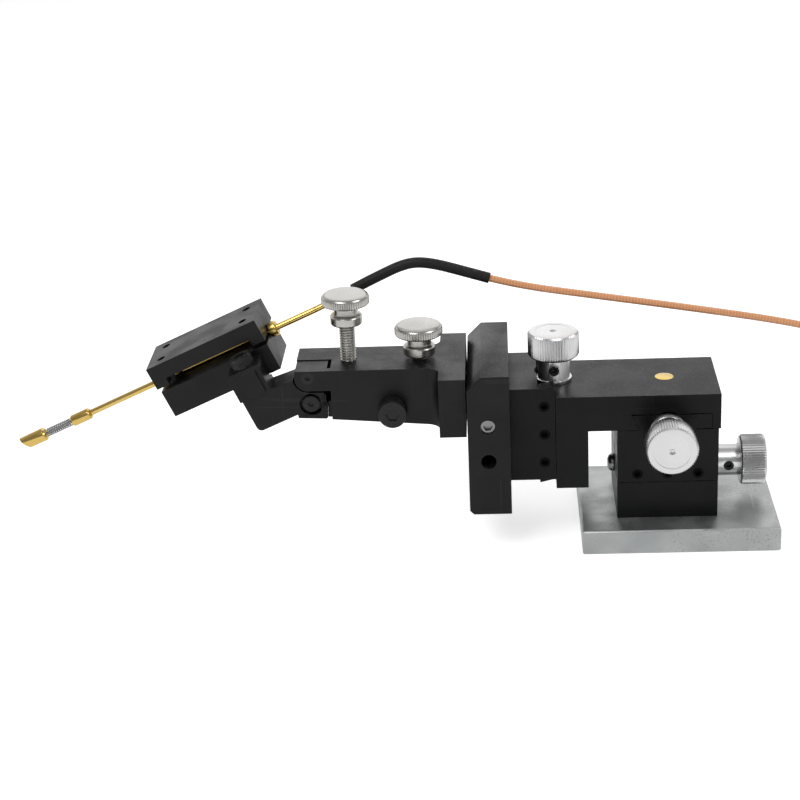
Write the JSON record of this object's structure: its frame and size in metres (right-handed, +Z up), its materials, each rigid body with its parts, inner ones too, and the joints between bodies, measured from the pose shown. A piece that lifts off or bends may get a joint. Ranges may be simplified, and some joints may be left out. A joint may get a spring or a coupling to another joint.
{
  "type": "micromanipulator",
  "caption": "Three-axis dovetail-stage probe positioner with knurled feed knobs, tilting nose and a sprung coaxial needle on its cable.",
  "frame": {"origin": "underside of the base plate, below the middle of the stage column", "axes": "+X away from the needle, +Y to the back, +Z up"},
  "size_m": [0.2389, 0.0572, 0.0697],
  "materials": {
    "zinc_steel": "zinc plated",
    "black_steel": "satin black",
    "black_anodised": "matte black anodised",
    "satin_aluminium": "satin",
    "bright_steel": "bright",
    "oxide_steel": "black oxide",
    "nickel_steel": "nickel plated",
    "bright_brass": "bright",
    "sleeve_plastic": "matte",
    "cable_plastic": "gloss"
  },
  "bodies": {
    "base": {"base_plate": "zinc_steel", "base_block": "black_steel", "base_screws": "oxide_steel"},
    "x_feed": {"x_knob": "satin_aluminium", "x_feed_screw": "bright_steel", "x_retainer": "bright_steel", "x_knob_set_screw": "oxide_steel"},
    "x_carriage": {"middle_block": "black_steel", "x_gib": "oxide_steel", "x_gib_screws": "oxide_steel", "x_nut_pin": "bright_brass"},
    "y_feed": {"y_knob": "satin_aluminium", "y_feed_screw": "bright_steel", "y_retainer": "bright_steel", "y_knob_set_screw": "oxide_steel"},
    "y_carriage": {"bridge_block": "black_steel", "y_gib": "oxide_steel", "y_gib_screws": "oxide_steel", "y_nut_pin": "bright_brass", "cable_run": "cable_plastic", "cable_coil": "cable_plastic", "plug_body": "bright_brass", "plug_nut": "nickel_steel"},
    "z_feed": {"z_knob": "satin_aluminium", "z_feed_screw": "bright_steel", "z_retainer": "bright_steel", "z_knob_set_screw": "oxide_steel"},
    "z_carriage": {"upright_block": "black_steel", "z_gib": "oxide_steel", "z_gib_screws": "oxide_steel", "z_nut_pin": "bright_brass", "mounting_plate": "black_anodised", "plate_screws": "oxide_steel", "arm_lock_screw": "bright_steel", "arm_block": "black_anodised", "side_cap_screw": "oxide_steel", "tilt_pivot_screw": "oxide_steel", "tilt_lock_screw": "oxide_steel"},
    "front_thumb": {"front_thumb_screw": "nickel_steel"},
    "back_thumb": {"back_thumb_screw": "nickel_steel"},
    "nose": {"nose_bracket": "black_anodised", "lower_clamp_plate": "black_anodised", "upper_clamp_plate": "black_anodised", "clamp_screws": "oxide_steel", "head_cap_screw": "oxide_steel", "needle_tube": "bright_brass", "needle_ring": "bright_brass", "stop_collar": "bright_brass", "heat_shrink_sleeve": "sleeve_plastic"},
    "sprung_tip": {"needle_tip": "bright_brass", "needle_core": "bright_steel", "tip_spring": "bright_steel"}
  },
  "joints": [
    {"name": "x_slide", "type": "slide", "parent": "base", "child": "x_carriage", "axis": [1, 0, 0], "range_m": [-0.005, 0.0045]},
    {"name": "x_knob_turn", "type": "hinge", "parent": "base", "child": "x_feed", "pos_m": [0.0201, 0, 0.0162], "axis": [1, 0, 0], "range_deg": [-3260, 3620]},
    {"name": "y_slide", "type": "slide", "parent": "x_carriage", "child": "y_carriage", "axis": [0, 1, 0], "range_m": [-0.005, 0.005]},
    {"name": "y_knob_turn", "type": "hinge", "parent": "x_carriage", "child": "y_feed", "pos_m": [0, -0.0201, 0.0302], "axis": [0, 1, 0], "range_deg": [-3620, 3620]},
    {"name": "z_slide", "type": "slide", "parent": "y_carriage", "child": "z_carriage", "axis": [0, 0, 1], "range_m": [-0.0075, 0.0025], "deforming": ["cable_run"]},
    {"name": "z_knob_turn", "type": "hinge", "parent": "y_carriage", "child": "z_feed", "pos_m": [-0.0276, 0, 0.047], "axis": [0, 0, 1], "range_deg": [-1820, 5420]},
    {"name": "front_thumb_turn", "type": "hinge", "parent": "z_carriage", "child": "front_thumb", "pos_m": [-0.079, 0, 0.0559], "axis": [0, 0, 1], "range_deg": [-360, 360]},
    {"name": "back_thumb_turn", "type": "hinge", "parent": "z_carriage", "child": "back_thumb", "pos_m": [-0.0611, 0, 0.0465], "axis": [0, 0, 1], "range_deg": [-360, 360]},
    {"name": "nose_tilt", "type": "hinge", "parent": "z_carriage", "child": "nose", "pos_m": [-0.0888, 0, 0.0446], "axis": [0, 1, 0], "range_deg": [-4, 4]},
    {"name": "tip_plunge", "type": "slide", "parent": "nose", "child": "sprung_tip", "axis": [0.9135, 0, 0.4067], "range_m": [0, 0.003], "stiffness_N_per_m": 150, "springref_m": -0.001, "deforming": ["tip_spring"]}
  ],
  "couplings": [
    {"joint": "x_knob_turn", "follows": "x_slide", "rad_per_m": -12566},
    {"joint": "y_knob_turn", "follows": "y_slide", "rad_per_m": -12566},
    {"joint": "z_knob_turn", "follows": "z_slide", "rad_per_m": -12566}
  ]
}
